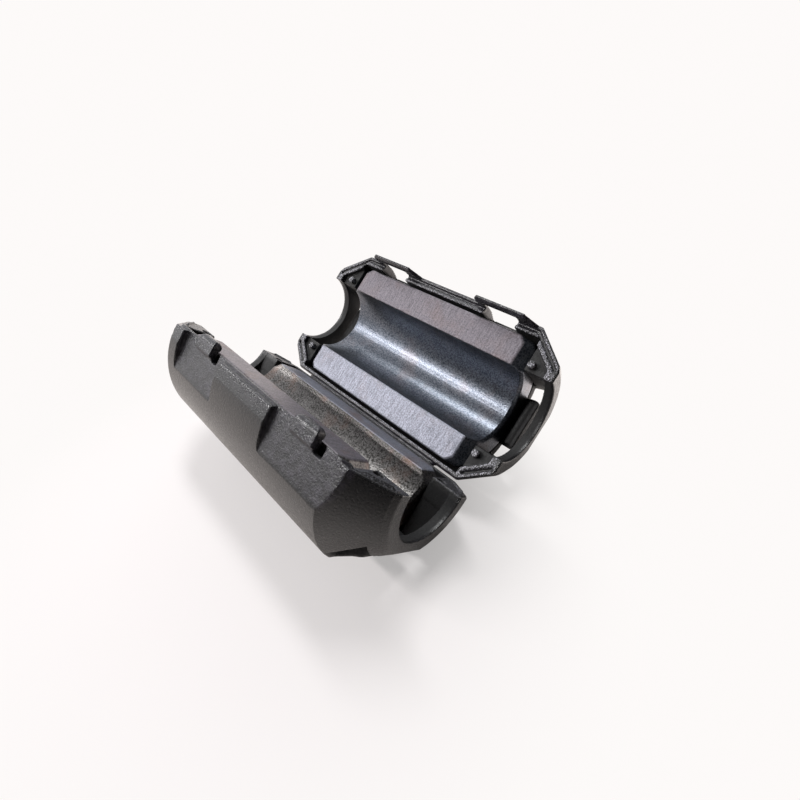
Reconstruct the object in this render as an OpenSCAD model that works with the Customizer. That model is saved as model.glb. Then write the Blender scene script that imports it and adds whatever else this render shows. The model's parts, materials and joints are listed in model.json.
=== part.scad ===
// Clip-on ferrite bead for a 9 mm cable.
// Two tapered half shells of one moulding, joined by a film hinge along one side
// and closed by two loops that snap over two hooks. Each shell holds half of a
// split ferrite core. The bead lies open on its two round backs, in a V.
//
// Each half is drawn in its own frame: Y is the bore axis, the mating plane is
// z = 0, the shell hangs below it, +X is the latch side and -X the hinge side.
// The base is then tilted to the right and the lid is tilted to the left.

/* [Core] */
// Radius of the cable passage
bore_r = 4.5; // [3.5:0.25:4.6]
// Outer radius of the core
core_r = 8; // [7:0.25:8]
// Length of the core
core_len = 28; // [22:0.5:28]
// Slope cut off each end of the mating faces
core_bevel = 1.25; // [0.5:0.05:1.5]
// Chamfer of the core's end edges
core_chamfer = 0.6; // [0.2:0.1:0.8]
// Chamfer of the four corners of each mating face
face_chamfer = 0.8; // [0.2:0.05:1]

/* [Case] */
// Outer radius of the closed case
case_r = 9.75; // [9.6:0.05:10.25]
// Length of the case between its end faces
case_len = 35.5; // [35:0.5:40]
// Length of each tapered end
taper_len = 4.25; // [3.75:0.25:5]
// Radius of each end face
end_r = 6.3; // [6:0.1:7]
// Depth of the flat facet under each tapered end, where it meets the end face
facet_depth = 5.55; // [5.4:0.05:6]
// Chamfer around each end face
end_chamfer = 0.35; // [0.1:0.05:0.6]
// Radius of the cavity around the core
cavity_r = 8.4; // [8.3:0.05:8.6]
// Thickness of the tapered walls
taper_wall = 1.25; // [1:0.05:1.5]
// Thickness of the end walls
end_wall = 1.15; // [0.8:0.05:1.4]
// Radius of the cable notch in each end wall
notch_r = 4.7; // [4.6:0.05:5]
// Distance from the bore axis to the flat on the latch side
latch_flat = 9.6; // [9.5:0.05:9.75]
// Space from each rim to the mating plane
rim_gap = 0.02; // [0.01:0.01:0.1]

/* [Rim seal] */
// Inset of the rim's groove and rib from the rim's outer edge
seal_inset = 0.42; // [0.3:0.02:0.5]
// Width of the groove
seal_w = 0.38; // [0.3:0.02:0.5]
// Depth of the groove
seal_depth = 0.3; // [0.2:0.05:0.6]
// Play between the rib and the groove, on every side
seal_play = 0.08; // [0.05:0.01:0.12]

/* [Core seat] */
// Width of each rib under the core
rib_w = 0.9; // [0.5:0.1:1.2]
// Angle between neighbouring ribs
rib_angle = 48; // [35:1:55]
// Distance of each corner post's inner face from the mid-plane
post_x = 4.75; // [4.7:0.05:5]
// Step of the base's corner posts below the mating plane
post_step = 0.7; // [0.5:0.1:1.5]
// Distance of each locating peg from the bore axis
peg_x = 5.5; // [5.5:0.05:5.8]
// Distance of each locating peg from mid-length
peg_y = 14.75; // [14.75:0.05:15]
// Radius of each locating peg
peg_r = 0.42; // [0.3:0.02:0.5]
// Height of each peg above the mating plane
peg_rise = 0.1; // [0.1:0.1:0.6]
// Play around a peg in its socket
peg_play = 0.1; // [0.1:0.02:0.2]

/* [Latches] */
// Distance between the two latches' centres
latch_pitch = 17; // [15:0.1:17.4]
// Place of the point midway between the latches, from mid-length
latch_mid = -0.75; // [-0.8:0.05:0.2]
// Width of a loop's crossbar
loop_w = 6.5; // [5.5:0.1:7]
// Place of the crossbar's middle, from the latch's centre
loop_shift = 0.65; // [0.3:0.05:0.7]
// Spread of the sloping leg's foot past the crossbar's end
leg_spread = 1.3; // [0:0.1:1.5]
// Thickness of a loop
loop_t = 0.45; // [0.4:0.05:0.6]
// Height of a loop above the mating plane
loop_h = 1.75; // [1.6:0.05:1.8]
// Height of a loop's crossbar
loop_bar = 1; // [0.8:0.05:1.05]
// Bevel at a loop's square top corner
loop_corner = 0.2; // [0.1:0.05:0.5]
// Chamfer inside the crossbar's top edge
loop_lead = 0.25; // [0.2:0.05:0.3]
// Width of the window in a loop
window_w = 4.4; // [4:0.1:4.6]
// Reach of the window below the mating plane
window_depth = 3.5; // [2:0.1:4]
// Width of a hook
hook_w = 3; // [2:0.1:3.2]
// Reach of a hook from the bore axis
hook_reach = 9.35; // [9.3:0.01:9.4]
// Radius of the lead-in at the top of a hook
hook_lead = 0.5; // [0.3:0.05:0.6]
// Radius of a hook's two top corners
hook_corner = 0.6; // [0.3:0.05:0.9]
// Height of a hook above the lid's mating plane
hook_rise = 1; // [0.9:0.05:1.1]
// Play between a hook's ledge and the crossbar
hook_play = 0.1; // [0.05:0.01:0.15]
// Width of the slit beside a hook
slit_w = 1.05; // [0.4:0.05:1.1]
// Distance from the bore axis to a pocket's floor, at the mating plane
pocket_floor = 9; // [8.9:0.01:9.05]
// Draft of a pocket's floor, in degrees
pocket_draft = 3; // [1:0.5:4]
// Play on each side of a loop in its pocket
pocket_play = 0.2; // [0.1:0.05:0.4]

/* [Spring tongues] */
// Width of a tongue in the tapered floor
tongue_w = 6.4; // [4:0.2:6.6]
// Width of the gap on each side of a tongue
tongue_gap = 1.6; // [0.6:0.05:1.7]
// Width of the gap at a tongue's free edge
tongue_tip_gap = 0.8; // [0.3:0.05:0.9]
// Distance of a tongue's root from mid-length
tongue_root = 13.7; // [13.4:0.1:14]
// Radius of a tongue's two free corners
tongue_corner = 0.6; // [0.2:0.1:0.9]
// Radius of the bead across a tongue
tongue_bead = 0.45; // [0.3:0.05:0.6]
// Distance from the core's seat to the bead
bead_gap = 0.55; // [0.3:0.05:0.8]
// Distance of the bead's ends from the tongue's edges
bead_inset = 0.4; // [0.2:0.1:0.8]

/* [Film hinge] */
// Distance from the bore axis to the hinge's fold
hinge_x = 9.1; // [9.05:0.01:9.2]
// Space from the fold to each shell's flat side
hinge_flat_gap = 0.1; // [0.05:0.01:0.15]
// Length of the hinge
hinge_len = 23; // [16:1:25]
// Radius of the hinge's round spine
hinge_r = 0.24; // [0.2:0.01:0.3]
// Space around the spine
hinge_play = 0.01; // [0.01:0.01:0.05]
// Angle between each mating plane and the ground
tilt = 42.8; // [30:0.1:55]

/* [Hidden] */
$fn = 128;
cut = 0.5;
big = 60;
half_len = case_len / 2;
shoulder_y = half_len - taper_len;
inner_y = half_len - end_wall;
taper_slope = (case_r - end_r) / taper_len;
slope_len = sqrt(1 + taper_slope * taper_slope);
taper_wall_r = taper_wall * slope_len;
cavity_y = core_len / 2 + 0.1;
core_gap = 0.01;
hinge_flat = hinge_x - hinge_flat_gap;
loop_in = latch_flat - loop_t;
ledge_z = loop_h - loop_bar - hook_play;
case_black = [0.16, 0.16, 0.17];
ferrite_grey = [0.55, 0.54, 0.58];

// Inner radius of the taper at a distance y from mid-length
function taper_in_r(y) = case_r - taper_slope * (y - shoulder_y) - taper_wall_r;

// Inner level of the facet at a distance y from mid-length
function facet_in_z(y) = taper_wall_r - facet_depth - taper_slope * (half_len - y);

// Where the rim's sloped edge, inset by a distance, crosses a given x
function slope_at_x(x, inset) =
    [x, shoulder_y + (case_r - inset * slope_len - x) / taper_slope];

// Where the rim's sloped edge, inset by a distance, crosses a given y
function slope_at_y(y, inset) =
    [case_r - inset * slope_len - taper_slope * (y - shoulder_y), y];

// The rim's outline, inset all round
module rim_outline(inset) {
    a = slope_at_x(latch_flat - inset, inset);
    b = slope_at_y(half_len - inset, inset);
    c = slope_at_x(hinge_flat - inset, inset);
    polygon([
        a, b, [-b[0], b[1]], [-c[0], c[1]],
        [-c[0], -c[1]], [-b[0], -b[1]], [b[0], -b[1]], [a[0], -a[1]]
    ]);
}

// Turns a (radius, length) profile around the bore axis
module turned(profile) {
    rotate([90, 0, 0])
        rotate_extrude()
            polygon(profile);
}

// Everything below a level
module below(level) {
    translate([-big / 2, -big / 2, level - big])
        cube(big);
}

// Draws its child at both ends
module both_ends() {
    children();
    mirror([0, 1, 0]) children();
}

// Draws its child at all four corners
module four_corners() {
    both_ends() {
        children();
        mirror([1, 0, 0]) children();
    }
}

// Draws its child at both latches
module at_latches() {
    for (side = [-1, 1])
        translate([0, latch_mid + side * latch_pitch / 2, 0]) children();
}

// Outside of the closed case: a cylinder between two tapers
module case_outside() {
    c = end_chamfer;
    turned([
        [0, -half_len], [end_r - c, -half_len], [end_r + c * taper_slope, c - half_len],
        [case_r, -shoulder_y], [case_r, shoulder_y],
        [end_r + c * taper_slope, half_len - c], [end_r - c, half_len], [0, half_len]
    ]);
}

// Cavity: the core's round seat and a tapered space at each end
module case_inside() {
    turned([
        [0, -inner_y], [taper_in_r(inner_y), -inner_y], [taper_in_r(cavity_y), -cavity_y],
        [cavity_r, -cavity_y], [cavity_r, cavity_y],
        [taper_in_r(cavity_y), cavity_y], [taper_in_r(inner_y), inner_y], [0, inner_y]
    ]);
}

// Space under the flat facet of one tapered end, raised by a height
module facet_space(raise) {
    depth = facet_depth - raise;
    rotate([90, 0, 90])
        translate([0, 0, -big / 2])
            linear_extrude(big)
                polygon([
                    [half_len + cut, cut * taper_slope - depth],
                    [half_len - 2 * taper_len, -depth - 2 * taper_len * taper_slope],
                    [half_len - 2 * taper_len, -big], [half_len + cut, -big]
                ]);
}

// Outline of one spring tongue, with rounded free corners
module tongue_outline() {
    tip = inner_y - tongue_tip_gap;
    r = tongue_corner;
    translate([-tongue_w / 2, tongue_root - cut])
        square([tongue_w, tip - r - tongue_root + cut]);
    translate([r - tongue_w / 2, tongue_root - cut])
        square([tongue_w - 2 * r, tip - tongue_root + cut]);
    for (side = [-1, 1])
        translate([side * (tongue_w / 2 - r), tip - r]) circle(r);
}

// The U-shaped slot around one spring tongue
module tongue_slot() {
    w = tongue_w + 2 * tongue_gap;
    translate([0, 0, -big])
        linear_extrude(big - bore_r / 2)
            difference() {
                translate([-w / 2, tongue_root]) square([w, inner_y - tongue_root]);
                tongue_outline();
            }
}

// A bead across one spring tongue, which bears on the end of the core
module tongue_bead() {
    y = cavity_y + bead_gap + tongue_bead;
    translate([bead_inset - tongue_w / 2, y, facet_in_z(y)])
        rotate([0, 90, 0]) cylinder(h = tongue_w - 2 * bead_inset, r = tongue_bead);
}

// The post in one corner of the end space, up to a level
module corner_post(level) {
    translate([post_x, cavity_y, level - case_r])
        cube([case_r, case_r, case_r]);
}

// Ribs along the cavity: their flat tops touch the core
module core_ribs() {
    for (a = [-rib_angle, 0, rib_angle])
        rotate([0, a, 0])
            translate([-rib_w / 2, 1 - core_len / 2, -cavity_r - cut])
                cube([rib_w, core_len - 2, cavity_r + cut - core_r]);
}

// The flat floor inside one tapered end, over the facet
module facet_floor() {
    intersection() {
        facet_space(taper_wall_r);
        translate([-case_r, cavity_y, -case_r]) cube([2 * case_r, taper_len, case_r]);
    }
}

// The space inside the case: the cavity less its floor, ribs, posts and beads
module core_space(post_level) {
    difference() {
        case_inside();
        both_ends() {
            facet_floor();
            tongue_bead();
        }
        core_ribs();
        four_corners() corner_post(post_level);
    }
}

// The walls of one half shell under a flat rim, with the core's seat inside
module shell_walls(post_level) {
    difference() {
        intersection() {
            case_outside();
            translate([-hinge_flat, -half_len, -case_r])
                cube([hinge_flat + latch_flat, case_len, case_r - rim_gap]);
        }
        both_ends() {
            facet_space(0);
            tongue_slot();
        }
        core_space(post_level);
    }
}

// One half shell, notched for the cable and relieved around the hinge's spine
module half_shell(post_level) {
    difference() {
        shell_walls(post_level);
        rotate([90, 0, 0]) cylinder(h = 2 * case_len, r = notch_r, center = true);
        translate([-hinge_x, 0, 0])
            rotate([90, 0, 0])
                cylinder(h = 2 * case_len, r = hinge_r + hinge_play, center = true);
    }
}

// The strip of the rim that carries the groove or the rib
module seal_strip(inset, w, depth) {
    translate([0, 0, -depth])
        linear_extrude(2 * depth)
            intersection() {
                difference() {
                    rim_outline(inset);
                    rim_outline(inset + w);
                }
                union() {
                    translate([notch_r + 1, -half_len]) square([case_r, case_len]);
                    for (side = [-1, 1])
                        translate([-case_r, side * (shoulder_y + 2.6) - 1.5]) square([4, 3]);
                }
            }
}

// Draws a (length, height) outline as a plate in the latch side's wall
module latch_plate(reach, thickness) {
    translate([reach, 0, 0])
        rotate([90, 0, -90])
            mirror([1, 0, 0]) linear_extrude(thickness) children();
}

// One loop: a plate on the outer wall, square at one end, with a sloping leg at the other
module latch_loop() {
    w = loop_w / 2;
    c = loop_corner;
    difference() {
        latch_plate(latch_flat, loop_t)
            polygon([
                [loop_shift + w, -cut], [loop_shift + w, loop_h - c],
                [loop_shift + w - c, loop_h], [loop_shift - w, loop_h],
                [loop_shift - w - leg_spread, 0], [loop_shift - w - leg_spread, -cut]
            ]);
        translate([loop_in, 0, loop_h])
            rotate([0, 45, 0])
                cube([loop_lead * sqrt(2), big, loop_lead * sqrt(2)], center = true);
    }
}

// The window under one loop's crossbar, cut through the wall
module latch_window() {
    translate([core_r, loop_shift - window_w / 2, -window_depth])
        cube([case_r - core_r + 1, window_w, window_depth + loop_h - loop_bar]);
}

// Section of a hook: a round lead-in at the top and a square ledge below
module hook_section() {
    root_x = cavity_r + 0.2;
    r = hook_lead;
    translate([root_x, -ledge_z])
        square([hook_reach - root_x, ledge_z + hook_rise - r]);
    translate([root_x, -ledge_z])
        square([hook_reach - r - root_x, ledge_z + hook_rise]);
    translate([hook_reach - r, hook_rise - r]) circle(r);
}

// Outline of a hook from outside, with two round top corners
module hook_outline() {
    r = hook_corner;
    translate([-hook_w / 2, -ledge_z])
        square([hook_w, ledge_z + hook_rise - r]);
    translate([r - hook_w / 2, -ledge_z])
        square([hook_w - 2 * r, ledge_z + hook_rise]);
    for (side = [-1, 1])
        translate([side * (hook_w / 2 - r), hook_rise - r]) circle(r);
}

// One hook, cut to its section and its outline
module latch_hook() {
    intersection() {
        rotate([90, 0, 0]) linear_extrude(hook_w + 1, center = true) hook_section();
        latch_plate(case_r, case_r - cavity_r) hook_outline();
    }
}

// The pocket that takes one loop, with a drafted floor
module latch_pocket() {
    foot_y = loop_shift - loop_w / 2 - leg_spread - pocket_play;
    end_y = loop_shift + loop_w / 2 + pocket_play;
    translate([pocket_floor, foot_y, 0])
        rotate([0, pocket_draft, 0])
            translate([0, 0, -case_r]) cube([case_r, end_y - foot_y, case_r + 1]);
}

// The run-out of the near pocket through the taper
module pocket_runout() {
    translate([pocket_floor, -half_len, 0])
        rotate([0, pocket_draft, 0])
            translate([0, 0, -case_r]) cube([case_r, taper_len + 1, case_r + 1]);
}

// The slit beside one hook
module hook_slit() {
    translate([core_r, -hook_w / 2 - slit_w, -ledge_z - 0.3])
        cube([case_r - core_r, slit_w, case_r]);
}

// The base shell: loops, windows, rim groove and locating pegs
module base_shell() {
    difference() {
        union() {
            half_shell(-post_step);
            at_latches() latch_loop();
        }
        at_latches() latch_window();
        seal_strip(seal_inset, seal_w, seal_depth);
    }
    four_corners()
        translate([peg_x, peg_y, -post_step - cut])
            cylinder(h = post_step + cut + peg_rise, r = peg_r);
}

// The lid shell: pockets, hooks, rim rib and sockets for the pegs
module lid_shell() {
    difference() {
        union() {
            half_shell(-rim_gap);
            seal_strip(seal_inset + seal_play, seal_w - 2 * seal_play, seal_depth - seal_play);
        }
        at_latches() {
            latch_pocket();
            hook_slit();
        }
        pocket_runout();
        four_corners()
            translate([peg_x, peg_y, -peg_rise - 0.3])
                cylinder(h = case_r, r = peg_r + peg_play);
    }
    at_latches() latch_hook();
}

// A sloping cut through one corner of a core half's mating face
module face_corner_cut() {
    translate([core_r, core_len / 2 - core_bevel, -core_gap])
        rotate([0, 0, -45])
            translate([-core_r, -face_chamfer / sqrt(2), 0])
                rotate([-45, 0, 0])
                    cube([2 * core_r, 2 * core_bevel, core_bevel]);
}

// One half of the split core
module half_core() {
    h = core_len / 2;
    c = core_chamfer;
    difference() {
        intersection() {
            turned([
                [bore_r, c / 2 - h], [bore_r + c / 2, -h], [core_r - c, -h], [core_r, c - h],
                [core_r, h - c], [core_r - c, h], [bore_r + c / 2, h], [bore_r, h - c / 2]
            ]);
            below(-core_gap);
        }
        both_ends()
            translate([-case_r, h - core_bevel, 0])
                rotate([-45, 0, 0])
                    cube([2 * case_r, 2 * core_bevel, core_bevel]);
        four_corners() face_corner_cut();
    }
}

// Places a half on the right, tilted on its round back
module on_right() {
    translate([hinge_x * cos(tilt), 0, case_r])
        rotate([0, -tilt, 0]) children();
}

module case_base() {
    color(case_black) on_right() base_shell();
}

module case_lid() {
    color(case_black) mirror([1, 0, 0]) on_right() lid_shell();
}

module core_base() {
    color(ferrite_grey) on_right() half_core();
}

module core_lid() {
    color(ferrite_grey) mirror([1, 0, 0]) on_right() half_core();
}

// The fold between the shells: a round spine on the hinge line
module film_hinge() {
    color(case_black)
        translate([0, 0, case_r - hinge_x * sin(tilt)])
            rotate([90, 0, 0]) cylinder(h = hinge_len, r = hinge_r, center = true);
}

case_base();
case_lid();
core_base();
core_lid();
film_hinge();
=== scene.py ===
import json
import math

import bmesh
import bpy
import numpy as np
from mathutils import Euler, Matrix, Vector


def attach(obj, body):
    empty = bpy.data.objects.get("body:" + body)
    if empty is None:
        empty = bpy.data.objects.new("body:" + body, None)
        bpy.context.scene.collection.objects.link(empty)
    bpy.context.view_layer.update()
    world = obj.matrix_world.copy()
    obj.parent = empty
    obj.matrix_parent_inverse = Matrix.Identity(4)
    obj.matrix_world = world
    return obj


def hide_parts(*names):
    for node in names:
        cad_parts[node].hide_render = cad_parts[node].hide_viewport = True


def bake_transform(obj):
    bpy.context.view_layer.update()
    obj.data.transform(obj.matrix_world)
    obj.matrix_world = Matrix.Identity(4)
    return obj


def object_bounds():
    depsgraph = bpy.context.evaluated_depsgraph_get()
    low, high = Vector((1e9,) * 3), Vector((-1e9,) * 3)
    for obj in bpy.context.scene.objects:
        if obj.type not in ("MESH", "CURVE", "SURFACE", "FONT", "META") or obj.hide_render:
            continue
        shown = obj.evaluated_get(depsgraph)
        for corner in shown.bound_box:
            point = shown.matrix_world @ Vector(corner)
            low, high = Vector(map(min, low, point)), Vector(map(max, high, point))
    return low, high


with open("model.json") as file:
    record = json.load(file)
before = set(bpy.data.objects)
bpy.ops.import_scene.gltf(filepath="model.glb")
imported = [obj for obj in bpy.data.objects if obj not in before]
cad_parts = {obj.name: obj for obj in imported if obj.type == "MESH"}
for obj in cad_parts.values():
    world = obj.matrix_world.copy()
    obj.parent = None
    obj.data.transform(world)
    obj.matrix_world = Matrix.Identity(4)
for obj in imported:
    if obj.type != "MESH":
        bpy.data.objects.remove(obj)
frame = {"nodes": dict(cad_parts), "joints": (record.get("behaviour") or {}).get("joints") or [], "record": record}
cad_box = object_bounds()

# Each half is dressed in its own frame, in millimetres: Y along the bore axis, the mating
# plane at z = 0, the shell below it, and the latch side at +X in the base and at -X in the lid.
MM = 0.001
PLACE = "half_place"  # the point attribute that keeps this place, in metres, for the materials

# From the frame: the base's bore axis, the fold and the length. Flat is two tilts away from rest.
seat = frame["record"]["mounts"][0]
fold = frame["joints"][0]
AXIS_X = seat["pos_m"][0] / MM
AXIS_Z = seat["pos_m"][2] / MM
BORE_R = seat["dims"]["r_mm"]
TILT = math.radians(fold["range_deg"][1]) / 2
HINGE_Z = fold["pos_m"][2] / MM
HINGE_X = AXIS_X / math.cos(TILT)
HALF_LEN = round(cad_box[1][1] / MM, 2)

# The solids' turned faces, and the pockets' flat floors. Each half lies on its round back.
CASE_R = AXIS_Z
END_R = 6.3
CAVITY_R = 8.4
CAVITY_Y = 14.05
NOTCH_R = 4.7
NOTCH_Y = 15.5
CORE_R = 8.0
CORE_Y = 14.0
FLAT_X = 9.0
TAPER_LEN = 4.25
TAPER_WALL = 1.25
SHOULDER_Y = HALF_LEN - TAPER_LEN
TAPER_SLOPE = (CASE_R - END_R) / TAPER_LEN
TAPER_WALL_R = TAPER_WALL * math.hypot(1, TAPER_SLOPE)

# How each solid's edges are rounded: the remesh's voxel, the smoothing passes, the share of
# faces kept, the turned faces as (radius, from |y|, to |y|), and the cones' radii at the shoulder
CASE_FINISH = {
    "voxel": 0.10, "passes": 2, "keep": 0.32,
    "rounds": ((NOTCH_R, NOTCH_Y, math.inf), (CAVITY_R, 0.0, CAVITY_Y), (CASE_R, 0.0, SHOULDER_Y)),
    "cones": (CASE_R, CASE_R - TAPER_WALL_R),
}
CORE_FINISH = {
    "voxel": 0.12, "passes": 3, "keep": 0.30,
    "rounds": ((BORE_R, 0.0, CORE_Y), (CORE_R, 0.0, CORE_Y)),
    "cones": (),
}
WELD = 0.001  # points this close are the same one
SNAP_REACH = 0.035  # a point this close to a turned face is put on it
SNAP_DONE = 0.002  # a point this close is on it
SNAP_TURN = 0.97  # least cosine between a turned face and a normal that is settled on it
SNAP_FLAT = 0.998  # the same for a face square to an axis

# The spring tongues' tips, and where the rounded rim rib would touch the groove, as (|x|, |y|)
TONGUE_X = 3.3
TONGUE_TOP = -4.0
TONGUE_BEND = 15.0
TONGUE_TIP = 16.0
TONGUE_EASE = 0.7
TONGUE_MORE = 0.18
RIB_TOUCHES = ((8.09, 14.61), (5.74, 17.12))
RIB_CLEAR = 0.30

# The thin web along the hinge line. Its flaps are given as (depth in the wall, z).
WEB_REACH = 11.5
WEB_ROWS = 47
WEB_EASE = 0.25
WEB_NARROW = 0.35
WEB_ROLL = 0.235
WEB_ROLL_END = 130
WEB_ROLL_STEP = 10
WEB_FLAP = (
    (0.10, -0.26), (0.10, -0.55), (0.10, -0.85), (0.06, -0.89),
    (0.01, -0.80), (0.01, -0.55), (0.01, -0.26),
)

# Camera, in millimetres and degrees: very close, over the lid's near end and down into the base
CAMERA_PLACE = (-24.862, -31.350, 38.691)
CAMERA_ANGLES = (50.641, -0.341, -44.320)
CAMERA_LENS = 19.138
CAMERA_SENSOR = 36

# Lamps, in metres: name, direction, long side's direction, radiance, width, length, colour
LAMP_REACH = 0.30
LAMPS = (
    ("lamp_back_left", (-0.611, 0.50, 0.614), (0.0, 1.0, 0.0), 46.0, 0.022, 0.17, (1, 0.985, 0.98)),
    ("lamp_top_right", (0.225, 0.27, 0.93), (0.18, 1.0, 0.0), 24.0, 0.042, 0.15, (0.98, 1, 1)),
)

# The studio's own light, by direction along Y: faint on the camera's side, strong on the far side
WORLD_COLOUR = (0.97, 0.975, 1.0, 1.0)
WORLD_RISE = (-0.5, 0.3)
WORLD_FAINT = (0.03, 0.14)
WORLD_FAR = 1.8

# The paper: its colours and light as the camera sees it, and as the part mirrors it. The spans
# are in metres. The mirrored ones go by Y, with more added the further right the place is.
PAPER_SIZE = 8
PAPER_PATCH = 60
PAPER_ROUGH = 0.9
PAPER_WHITE = (0.98, 0.955, 0.945)
PAPER_WARM = (0.98, 0.90, 0.86)
PAPER_PLAIN = ((0.86, 0.81, 0.81), (0.89, 0.84, 0.84))
PAPER_IN_MIRROR = (0.94, 0.865, 0.825)
FADE_CENTRE = (-0.013, -0.002, 0.0)
FADE_SPAN = (0.014, 0.036)
FADE_LIFT = (0.42, 1.0)
RIGHT_LEAST = 0.004
RIGHT_WEIGHT = 1.8
FLAG_SPAN = (-0.040, -0.012)
FLAG_DIM = 0.35
FAR_SPAN = (-0.008, 0.027)
FAR_LIFT = 0.5
GLOW_SPAN = (0.006, 0.020)
GLOW_GAIN = (0.25, 3.5)

# Ferrite: (dark, light) grains of the fired surface, and of the ground faces on each side; the hinge side's ground
# faces are painted paler as painted light, the latch side's darker and warmer as painted shade and painted
# reflection
BASE_FIRED = ((0.058, 0.066, 0.084), (0.200, 0.216, 0.248))
LID_FIRED = ((0.034, 0.032, 0.030), (0.205, 0.195, 0.190))
LIT_HINGE_CUT = ((0.145, 0.150, 0.178), (0.305, 0.312, 0.368))
SHADED_LATCH_CUT = ((0.105, 0.094, 0.106), (0.212, 0.192, 0.216))
RUST = (0.175, 0.105, 0.080)
FERRITE_METAL = (0.90, 0.55)  # fired, ground
FIRED_ROUGH = (0.30, 0.38)
GROUND_ROUGH = (0.58, 0.46)

# Plastic: (dark, light) patches of the moulded and of the eroded surface, and the bright specks painted on the
# rims as glints of light
MOULDED = ((0.009, 0.009, 0.010), (0.014, 0.013, 0.013))
ERODED = ((0.008, 0.007, 0.009), (0.044, 0.040, 0.050))
PAINTED_GLINT = (0.48, 0.47, 0.53)
PLASTIC_IOR = 1.52
PLASTIC_ROUGH = (0.44, 0.58)
INSIDE_DULLER = 0.20
OUTSIDE_SMOOTHER = 0.19
RIM_SMOOTHER = 0.06
POCKET_SHARE = 0.75  # how far the pockets count as outside

# The noises' scales, in waves per metre
FERRITE_GRAIN = 5600
FERRITE_GRIT = 500
FERRITE_LINES = (600, 4600, 600)
FERRITE_RUST = 240
PLASTIC_GRAIN = 5400
PLASTIC_BLOTCH = 1500
PLASTIC_FLECK = 7500
PLASTIC_PATCH = 260

# Where the materials change, in the half's own frame: from nothing to all over each span
GROUND_Z = (-0.16, -0.07)
SIDE_X = 3.0
RIM_Z = (-0.75, -0.35)
EDGE_Z = ((-0.25, -0.12), (0.30, 0.15))
POCKET_X = (FLAT_X - 0.50, FLAT_X - 0.20)
POCKET_R = (CASE_R - 0.05, CASE_R - 0.20)
SKIN_R = (CASE_R - 0.30, CASE_R - 0.15)
SKIN_Y = (HALF_LEN - 0.45, HALF_LEN - 0.25)


# ---------- nodes ----------

class Graph:
    """A short way to add nodes to a node tree. An input is named, or given by number as i0, i1."""

    def __init__(self, tree):
        self.tree = tree

    def add(self, kind, settings=None, **inputs):
        made = self.tree.nodes.new("ShaderNode" + kind)
        for key, value in (settings or {}).items():
            setattr(made, key, value)
        for key, value in inputs.items():
            self.put(made, key, value)
        return made

    def put(self, made, key, value):
        by_number = key[0] == "i" and key[1:].isdigit()
        socket = made.inputs[int(key[1:]) if by_number else key.replace("_", " ")]
        if hasattr(value, "is_output"):
            self.tree.links.new(value, socket)
        else:
            socket.default_value = value

    def math(self, operation, a, b=0.0):
        return self.add("Math", {"operation": operation}, i0=a, i1=b).outputs[0]

    def plus(self, a, b):
        return self.math("ADD", a, b)

    def minus(self, a, b):
        return self.math("SUBTRACT", a, b)

    def times(self, a, b):
        return self.math("MULTIPLY", a, b)

    def larger(self, a, b):
        return self.math("MAXIMUM", a, b)

    def ramp(self, value, low, high, to_low=0.0, to_high=1.0, kind="LINEAR"):
        made = self.add("MapRange", {"interpolation_type": kind}, i0=value)
        for k, limit in enumerate((low, high, to_low, to_high), 1):
            self.put(made, f"i{k}", limit)
        return made.outputs[0]

    def over(self, value, span):
        """0 to 1 over a span that is given in millimetres."""
        return self.ramp(value, span[0] * MM, span[1] * MM)

    def mix(self, factor, a, b):
        return self.add("Mix", {"data_type": "FLOAT"}, Factor=factor, i2=a, i3=b).outputs[0]

    def blend(self, factor, a, b):
        """Mixes two colours."""
        a, b = (c if hasattr(c, "is_output") else (*c, 1) for c in (a, b))
        return self.add("Mix", {"data_type": "RGBA"}, Factor=factor, i6=a, i7=b).outputs[2]

    def noise(self, vector, scale, detail=2.0, roughness=0.5):
        made = self.add("TexNoise", None, Vector=vector, Scale=scale, Detail=detail)
        self.put(made, "Roughness", roughness)
        return made.outputs["Fac"]

    def parts(self, vector):
        """The X, Y and Z of a vector."""
        return tuple(self.add("SeparateXYZ", None, Vector=vector).outputs)

    def length(self, vector):
        return self.add("VectorMath", {"operation": "LENGTH"}, i0=vector).outputs["Value"]


class Surface(Graph):
    """The nodes of a new material, round its own shader."""

    def __init__(self, name):
        self.mat = bpy.data.materials.new(name)
        self.mat.use_nodes = True
        super().__init__(self.mat.node_tree)
        self.shader = self.tree.nodes["Principled BSDF"]
        self.out = self.tree.nodes["Material Output"]

    def half_place(self):
        return self.add("Attribute", {"attribute_name": PLACE}).outputs["Vector"]

    def bump(self, height, strength, depth, under=None):
        """A bump of a depth in millimetres, laid over the bump that is under it."""
        made = self.add("Bump", None, Strength=strength, Distance=depth * MM, Height=height)
        if under is not None:
            self.put(made, "Normal", under)
        return made.outputs[0]

    def set(self, **inputs):
        for key, value in inputs.items():
            self.put(self.shader, key, value)


# ---------- materials ----------

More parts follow.
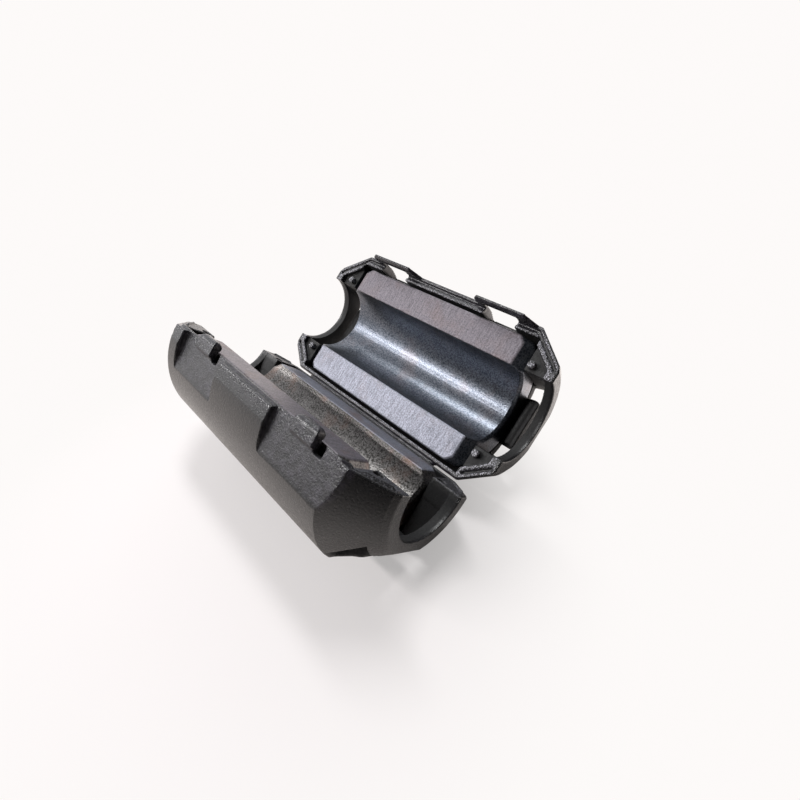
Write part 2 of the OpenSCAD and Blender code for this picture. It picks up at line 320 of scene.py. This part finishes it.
def ferrite_material(name, fired, latch, stain):
    """Fired ferrite with a fine grain. The mating faces are ground flat, with fine lines across.

    They are bluish and painted paler on the hinge side as painted light, and painted darker and warmer on the
    latch side as painted shade and painted reflection. latch is that side's sign along X, and stain the strength
    of the rusty patches.
    """
    g = Surface(name)
    place = g.half_place()
    x, _, z = g.parts(place)
    ground = g.over(z, GROUND_Z)
    grain = g.noise(place, FERRITE_GRAIN, 1.0)
    stretched = g.add("Mapping", None, Vector=place, Scale=FERRITE_LINES).outputs[0]
    lines = g.noise(stretched, 1.0, 2.0, 0.6)

    grit = g.plus(grain, g.times(g.noise(place, FERRITE_GRIT, 3.0), 0.2))
    body = g.blend(g.ramp(grit, 0.42, 0.78), *fired)
    speck = g.ramp(g.plus(g.times(grain, 0.55), g.times(lines, 0.45)), 0.36, 0.64)
    # painted light and shade: the ground faces are lighter on the hinge side and darker on the latch side
    side = g.over(x, (-SIDE_X * latch, SIDE_X * latch))
    cut = g.blend(side, g.blend(speck, *LIT_HINGE_CUT), g.blend(speck, *SHADED_LATCH_CUT))
    patches = g.ramp(g.noise(place, FERRITE_RUST, 3.0, 0.6), 0.52, 0.70)
    g.set(Base_Color=g.blend(g.times(patches, stain), g.blend(ground, body, cut), RUST))

    g.set(Metallic=g.ramp(ground, 0.0, 1.0, *FERRITE_METAL))
    fired_rough = g.ramp(grain, 0.3, 0.7, *FIRED_ROUGH)
    g.set(Roughness=g.mix(ground, fired_rough, g.ramp(speck, 0.0, 1.0, *GROUND_ROUGH)))
    g.set(Normal=g.bump(lines, 0.25, 0.02, under=g.bump(grain, 1.0, 0.012)))
    return g.mat


def pocket_mask(g, x, radius):
    """1 on the flats beside the latches and the hinge, which stand inside the round outside."""
    return g.times(g.over(g.math("ABSOLUTE", x), POCKET_X), g.over(radius, POCKET_R))


def skin_mask(g, y, radius):
    """1 on the round outside, the tapers and the end faces."""
    along = g.math("ABSOLUTE", y)
    drop = g.times(g.larger(g.minus(along, SHOULDER_Y * MM), 0.0), TAPER_SLOPE)
    return g.larger(g.over(g.plus(radius, drop), SKIN_R), g.over(along, SKIN_Y))


def plastic_material(name, glint):
    """Black moulded plastic: a fine eroded grain, coarser in the pockets, duller inside.

    Its last argument is the strength of the bright specks painted on the rims as glints of light.
    """
    g = Surface(name)
    place = g.half_place()
    x, y, z = g.parts(place)
    radius = g.length(g.add("CombineXYZ", None, X=x, Z=z).outputs[0])
    rim = g.over(z, RIM_Z)
    pocket = pocket_mask(g, x, radius)
    outside = g.larger(g.times(pocket, POCKET_SHARE), skin_mask(g, y, radius))
    not_outside = g.minus(1.0, outside)
    inside = g.times(g.minus(1.0, rim), not_outside)
    grain = g.noise(place, PLASTIC_GRAIN, 2.0, 0.6)
    blotch = g.noise(place, PLASTIC_BLOTCH, 3.0, 0.7)

    # painted highlights: bright specks near the mating plane's edges stand in for glints of light on the rims
    low, high = (g.over(z, span) for span in EDGE_Z)
    edge = g.times(g.times(low, high), g.times(not_outside, glint))
    fleck = g.times(edge, g.ramp(g.noise(place, PLASTIC_FLECK), 0.49, 0.66))
    moulded = g.blend(fleck, g.blend(g.noise(place, PLASTIC_PATCH, 3.0), *MOULDED), PAINTED_GLINT)
    eroded = g.blend(g.ramp(blotch, 0.38, 0.72), *ERODED)
    g.set(Base_Color=g.blend(pocket, moulded, eroded))

    rough = g.plus(g.ramp(grain, 0.3, 0.7, *PLASTIC_ROUGH), g.times(inside, INSIDE_DULLER))
    smoother = g.plus(g.times(outside, OUTSIDE_SMOOTHER), g.times(rim, RIM_SMOOTHER))
    g.set(Roughness=g.minus(rough, smoother), IOR=PLASTIC_IOR)
    fine = g.bump(grain, g.ramp(rim, 0.0, 1.0, 0.8, 1.0), 0.045)
    g.set(Normal=g.bump(blotch, g.times(pocket, 0.55), 0.06, under=fine))
    return g.mat


# ---------- from one frame to the other ----------

def side_of(node):
    """1 for the base's side of the hinge, -1 for the lid's."""
    return 1 if node.endswith("base") else -1


def to_half(points, side):
    """Points in the row frame, in metres, to the half's own frame."""
    x = side * points[:, 0] / MM - AXIS_X
    z = points[:, 2] / MM - AXIS_Z
    return np.column_stack([
        side * (x * math.cos(TILT) + z * math.sin(TILT)),
        points[:, 1] / MM,
        -x * math.sin(TILT) + z * math.cos(TILT),
    ])


def to_row(points, side):
    """Points in the half's own frame to the row frame, in metres."""
    x = side * points[:, 0]
    z = points[:, 2]
    return np.column_stack([
        side * (x * math.cos(TILT) - z * math.sin(TILT) + AXIS_X) * MM,
        points[:, 1] * MM,
        (x * math.sin(TILT) + z * math.cos(TILT) + AXIS_Z) * MM,
    ])


def turned_to_row(normals, side):
    """Directions in the half's own frame, turned into the row frame."""
    return to_row(normals, side) / MM - to_row(np.zeros((1, 3)), side) / MM


def read_points(mesh):
    flat = np.empty(len(mesh.vertices) * 3, np.float32)
    mesh.vertices.foreach_get("co", flat)
    return flat.reshape(-1, 3).astype(float)


def write_points(mesh, points):
    mesh.vertices.foreach_set("co", points.astype(np.float32).ravel())
    mesh.update()


def keep_place(mesh, points):
    """Stores each point's place in its half's own frame for the materials."""
    data = mesh.attributes.new(PLACE, "FLOAT_VECTOR", "POINT").data
    data.foreach_set("vector", (points * MM).astype(np.float32).ravel())


# ---------- turned faces ----------

def from_axis(points):
    """Distance of each point from the bore axis, never quite 0 because it divides."""
    return np.maximum(np.hypot(points[:, 0], points[:, 2]), 0.1)


def turned_faces(points, finish):
    """For each turned face: the points in its span, their radius on it, and its fall per length."""
    y = np.abs(points[:, 1])
    for radius, low, high in finish["rounds"]:
        yield (y >= low) & (y <= high), np.full(len(y), radius), 0.0
    for top in finish["cones"]:
        yield y > SHOULDER_Y, top - TAPER_SLOPE * (y - SHOULDER_Y), TAPER_SLOPE


def snapped(mesh, finish):
    """Puts the mesh's points that lie close to a turned face on it, and gives all its points."""
    points = read_points(mesh)
    for span, target, _ in turned_faces(points, finish):
        r = from_axis(points)
        near = span & (np.abs(r - target) < SNAP_REACH)
        points[near] *= np.column_stack([target / r, np.ones(len(r)), target / r])[near]
    write_points(mesh, points)
    return points


def settle(normals, exact, here, close):
    """Replaces the normals that are close to an exact direction by that direction."""
    dots = (normals * exact).sum(1)
    near = here & (np.abs(dots) > close)
    normals[near] = exact[near] * np.sign(dots[near])[:, None]


def true_normals(mesh, points, finish):
    """Vertex normals in the half's own frame: the largest faces lead, and turned and flat faces
    get their exact ones."""
    mesh.calc_loop_triangles()
    corners = np.empty(len(mesh.loop_triangles) * 3, np.int32)
    mesh.loop_triangles.foreach_get("vertices", corners)
    corners = corners.reshape(-1, 3)
    a, b, c = (points[corners[:, k]] for k in range(3))
    faces = np.cross(b - a, c - a)
    faces *= np.linalg.norm(faces, axis=1)[:, None]
    normals = np.zeros_like(points)
    for k in range(3):
        np.add.at(normals, corners[:, k], faces)
    normals /= np.maximum(np.linalg.norm(normals, axis=1), 1e-12)[:, None]

    r = from_axis(points)
    for span, target, slope in turned_faces(points, finish):
        lean = slope * np.sign(points[:, 1])
        exact = np.column_stack([points[:, 0] / r, lean, points[:, 2] / r]) / math.hypot(1, slope)
        settle(normals, exact, span & (np.abs(r - target) < SNAP_DONE), SNAP_TURN)
    for axis in range(3):
        exact = np.zeros_like(normals)
        exact[:, axis] = 1.0
        settle(normals, exact, np.ones(len(r), bool), SNAP_FLAT)
    return normals


# ---------- pieces ----------

def longer_tongues(points):
    """Brings the spring tongues' tips closer to the end walls, to close the slit of light there."""
    y = np.abs(points[:, 1])
    low = (np.abs(points[:, 0]) < TONGUE_X) & (points[:, 2] < TONGUE_TOP)
    here = low & (y > TONGUE_BEND) & (y < TONGUE_TIP)
    t = np.clip((y[here] - TONGUE_BEND) / TONGUE_EASE, 0.0, 1.0)
    points[here, 1] += np.sign(points[here, 1]) * TONGUE_MORE * t * t * (3 - 2 * t)


def dip_rib(points):
    """Dips the lid's rim rib at a few places, so that the closed halves do not touch there."""
    flat = np.abs(points[:, :2])
    away = np.min([np.hypot(*(flat - touch).T) for touch in RIB_TOUCHES], axis=0)
    dip = np.clip((away - RIB_CLEAR) / RIB_CLEAR, 0.0, 1.0)
    rib = points[:, 2] > 0.0
    points[rib, 2] *= dip[rib]


def half_copy(node):
    """A copy of a CAD node's mesh in its half's own frame, as a new object."""
    bm = bmesh.new()
    bm.from_mesh(frame["nodes"][node].data)
    bmesh.ops.remove_doubles(bm, verts=bm.verts, dist=WELD * MM)
    mesh = bpy.data.meshes.new(node + "_finish")
    bm.to_mesh(mesh)
    bm.free()
    write_points(mesh, to_half(read_points(mesh), side_of(node)))
    return new_object(mesh)


def new_object(data):
    made = bpy.data.objects.new(data.name, data)
    bpy.context.scene.collection.objects.link(made)
    return made


def modified(piece, *modifiers):
    """Gives the piece its mesh with these modifiers, as (kind, settings), applied."""
    for kind, settings in modifiers:
        modifier = piece.modifiers.new(kind, kind)
        for key, value in settings.items():
            setattr(modifier, key, value)
    graph = bpy.context.evaluated_depsgraph_get()
    mesh = bpy.data.meshes.new_from_object(piece.evaluated_get(graph))
    piece.modifiers.clear()
    piece.data = mesh


def moulded_copy(node, material, finish):
    """A copy of a CAD node with its edges rounded as moulding or firing rounds them."""
    side = side_of(node)
    body = "base" if side > 0 else "lid"
    piece = half_copy(node)
    modified(
        piece,
        ("REMESH", {"mode": "VOXEL", "voxel_size": finish["voxel"]}),
        ("SMOOTH", {"factor": 0.5, "iterations": finish["passes"]}),
    )
    snapped(piece.data, finish)
    modified(piece, ("DECIMATE", {"ratio": finish["keep"]}))
    points = snapped(piece.data, finish)
    normals = true_normals(piece.data, points, finish)
    if node.startswith("case"):
        longer_tongues(points)
    if node == "case_lid":
        dip_rib(points)

    write_points(piece.data, to_row(points, side))
    keep_place(piece.data, points)
    piece.data.shade_smooth()
    piece.data.normals_split_custom_set_from_vertices(turned_to_row(normals, side))
    piece.data.materials.clear()
    piece.data.materials.append(material)
    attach(piece, body)
    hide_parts(node)


def web_outline():
    """The web's cross-section in the row frame, once around: roll, base's flap, lid's flap."""
    angles = np.radians(np.arange(-WEB_ROLL_END, WEB_ROLL_END + 1, WEB_ROLL_STEP))
    roll = [(WEB_ROLL * math.sin(a), HINGE_Z + WEB_ROLL * math.cos(a)) for a in angles]
    flap = to_row(np.array([(depth - HINGE_X, 0.0, z) for depth, z in WEB_FLAP]), 1) / MM
    base_side = [(x, z) for x, _, z in flap]
    lid_side = [(-x, z) for x, z in reversed(base_side)]
    return roll + base_side + lid_side


def web_faces(count):
    """Quads between the rows of the web's points, and a cap at each end."""
    faces = []
    for row in range(WEB_ROWS - 1):
        for k in range(count):
            a, b = row * count + k, row * count + (k + 1) % count
            faces.append((a, b, b + count, a + count))
    faces.append(tuple(reversed(range(count))))
    faces.append(tuple(range((WEB_ROWS - 1) * count, WEB_ROWS * count)))
    return faces


def hinge_web(material):
    """The thin web that joins the halves: a roll on the hinge line, with a flap on each half."""
    outline = web_outline()
    rows = np.linspace(-WEB_REACH, WEB_REACH, WEB_ROWS)
    ends = np.clip((WEB_REACH - np.abs(rows)) / WEB_EASE, 0.0, 1.0)
    shrink = 1.0 - WEB_NARROW * (1.0 - np.sqrt(1.0 - (1.0 - ends) ** 2))
    points = MM * np.array([
        (x * k, y, HINGE_Z + (z - HINGE_Z) * k) for y, k in zip(rows, shrink) for x, z in outline
    ])
    mesh = bpy.data.meshes.new("hinge_web")
    mesh.from_pydata([tuple(p) for p in points], [], web_faces(len(outline)))
    mesh.update()
    keep_place(mesh, to_half(points, 1))
    mesh.shade_smooth()
    mesh.materials.append(material)
    piece = new_object(mesh)
    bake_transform(piece)
    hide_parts("film_hinge")


# ---------- camera, lights, stage ----------

def add_camera():
    data = bpy.data.cameras.new("camera")
    data.lens = CAMERA_LENS
    data.sensor_width = CAMERA_SENSOR
    data.clip_start = 1 * MM
    data.clip_end = 4.0
    camera = new_object(data)
    camera.location = Vector(CAMERA_PLACE) * MM
    camera.rotation_euler = Euler([math.radians(a) for a in CAMERA_ANGLES], "XYZ")
    bpy.context.scene.camera = camera


def add_lamp(name, direction, along, radiance, width, length, colour):
    """A long lamp that faces the part, from a direction, with its long side along another."""
    data = bpy.data.lights.new(name, "AREA")
    data.shape = "RECTANGLE"
    data.size = width
    data.size_y = length
    data.energy = radiance * math.pi * width * length
    data.color = colour
    lamp = new_object(data)
    back = Vector(direction).normalized()
    across = Vector(along).cross(back).normalized()
    lamp.location = back * LAMP_REACH
    lamp.rotation_euler = Matrix((across, back.cross(across), back)).transposed().to_euler()


def add_world():
    """Light from all round, most from the far side. The camera sees the paper's white instead."""
    world = bpy.data.worlds.new("studio")
    bpy.context.scene.world = world
    world.use_nodes = True
    g = Graph(world.node_tree)
    _, y, _ = g.parts(g.add("TexCoord").outputs["Generated"])
    near = g.ramp(y, *WORLD_RISE, *WORLD_FAINT, "SMOOTHSTEP")
    far = g.larger(y, 0.0)
    strength = g.plus(g.times(g.times(far, far), WORLD_FAR), near)
    light = g.tree.nodes["Background"]
    g.put(light, "Color", WORLD_COLOUR)
    g.put(light, "Strength", strength)
    white = g.add("Background", None, Color=(*PAPER_WHITE, 1))
    camera = g.add("LightPath").outputs["Is Camera Ray"]
    seen = g.add("MixShader", None, i0=camera, i1=light.outputs[0], i2=white.outputs[0])
    g.put(g.tree.nodes["World Output"], "Surface", seen.outputs[0])


def paper_material():
    """White paper that keeps the shadow.

    The camera sees it lifted to white, fully so away from the part. In reflections it is
    white on the far side and dim on the near side, as with a dark flag beside the camera,
    and glows on the far right.
    """
    g = Surface("paper")
    place = g.add("TexCoord").outputs["Object"]
    paths = g.add("LightPath")
    camera, mirror = paths.outputs["Is Camera Ray"], paths.outputs["Is Glossy Ray"]
    x, y, _ = g.parts(place)
    far = g.plus(y, g.times(g.larger(x, RIGHT_LEAST), RIGHT_WEIGHT))

    dim = g.times(mirror, g.minus(1.0, g.ramp(far, *FLAG_SPAN, FLAG_DIM, 1.0)))
    plain = g.blend(g.noise(place, PAPER_PATCH), *PAPER_PLAIN)
    paper = g.blend(mirror, plain, PAPER_IN_MIRROR)
    g.set(Base_Color=g.blend(dim, paper, (0.0, 0.0, 0.0)))
    g.set(Roughness=PAPER_ROUGH, Specular_IOR_Level=0.0)

    from_centre = g.add("VectorMath", {"operation": "SUBTRACT"}, i0=place, i1=FADE_CENTRE)
    fade = g.ramp(g.length(from_centre.outputs[0]), *FADE_SPAN, *FADE_LIFT, "SMOOTHSTEP")
    lift = g.plus(g.times(fade, camera), g.times(g.ramp(far, *FAR_SPAN, 0.0, FAR_LIFT), mirror))
    strength = g.plus(1.0, g.times(mirror, g.ramp(x, *GLOW_SPAN, *GLOW_GAIN)))
    colour = g.blend(mirror, PAPER_WHITE, PAPER_WARM)
    glow = g.add("Emission", None, Color=colour, Strength=strength)
    seen = g.add("MixShader", None, i0=lift, i1=g.shader.outputs[0], i2=glow.outputs[0])
    g.put(g.out, "Surface", seen.outputs[0])
    return g.mat


def add_floor():
    bpy.ops.mesh.primitive_plane_add(size=PAPER_SIZE, location=(0, 0, 0))
    floor = bpy.context.object
    floor.name = "floor"
    floor.data.materials.append(paper_material())


base_plastic = plastic_material("base_plastic", glint=1.0)
lid_plastic = plastic_material("lid_plastic", glint=0.25)
base_ferrite = ferrite_material("base_ferrite", BASE_FIRED, latch=1, stain=0.2)
lid_ferrite = ferrite_material("lid_ferrite", LID_FIRED, latch=-1, stain=0.6)
moulded_copy("case_base", base_plastic, CASE_FINISH)
moulded_copy("case_lid", lid_plastic, CASE_FINISH)
moulded_copy("core_base", base_ferrite, CORE_FINISH)
moulded_copy("core_lid", lid_ferrite, CORE_FINISH)
hinge_web(base_plastic)
add_camera()
add_floor()
add_world()
for lamp in LAMPS:
    add_lamp(*lamp)
bpy.context.scene.view_settings.view_transform = "Standard"
